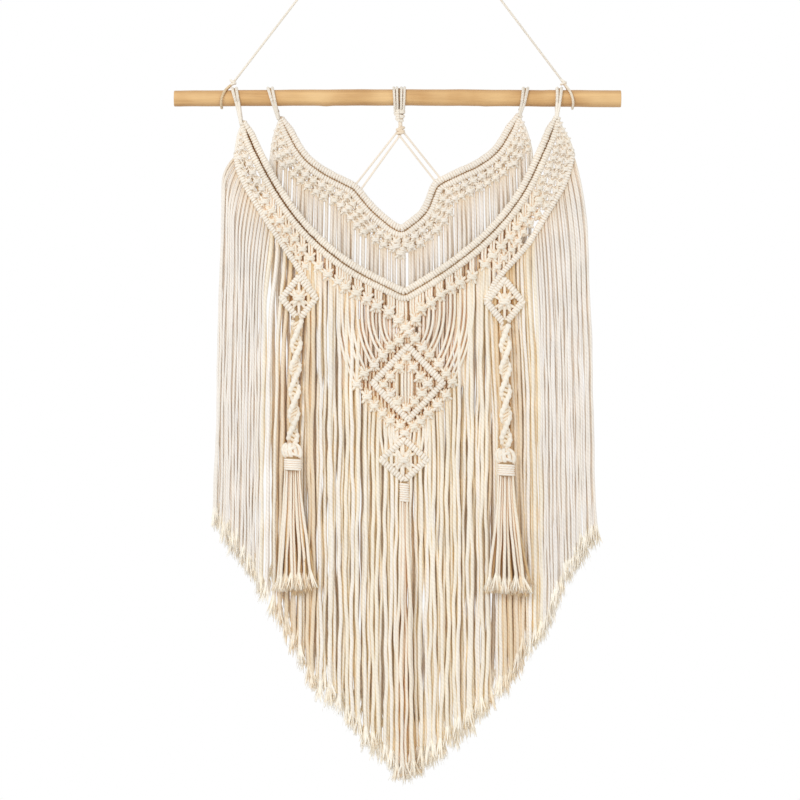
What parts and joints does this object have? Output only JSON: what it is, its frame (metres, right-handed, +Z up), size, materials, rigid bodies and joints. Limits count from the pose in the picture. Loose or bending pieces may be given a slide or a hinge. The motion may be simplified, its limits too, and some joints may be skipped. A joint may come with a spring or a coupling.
{
  "type": "macrame wall hanging with its rod",
  "caption": "Knotted cotton wall hanging: two V-shaped hitched panels with net, diamonds, spiral sinnets, tassels and long fringe on a wooden rod with a hanging cord.",
  "frame": {"origin": "under the bend at the top of the hanging cord, where the nail or hook holds it", "axes": "+Z up, the face of the hanging looks along -Y and the wall is on its +Y side, +X to the viewer's right"},
  "size_m": [0.5005, 0.0337, 1.0243],
  "materials": {
    "wood": "smooth unvarnished natural stick",
    "cotton": "matte twisted cotton cord, frayed at the ends"
  },
  "bodies": {
    "root": {"rod": "wood", "hanger_cord": "cotton", "centre_bridle": "cotton", "upper_panel": "cotton", "lower_panel": "cotton", "left_sinnet": "cotton", "right_sinnet": "cotton", "left_tassel": "cotton", "right_tassel": "cotton", "centre_tassel": "cotton"}
  },
  "joints": []
}
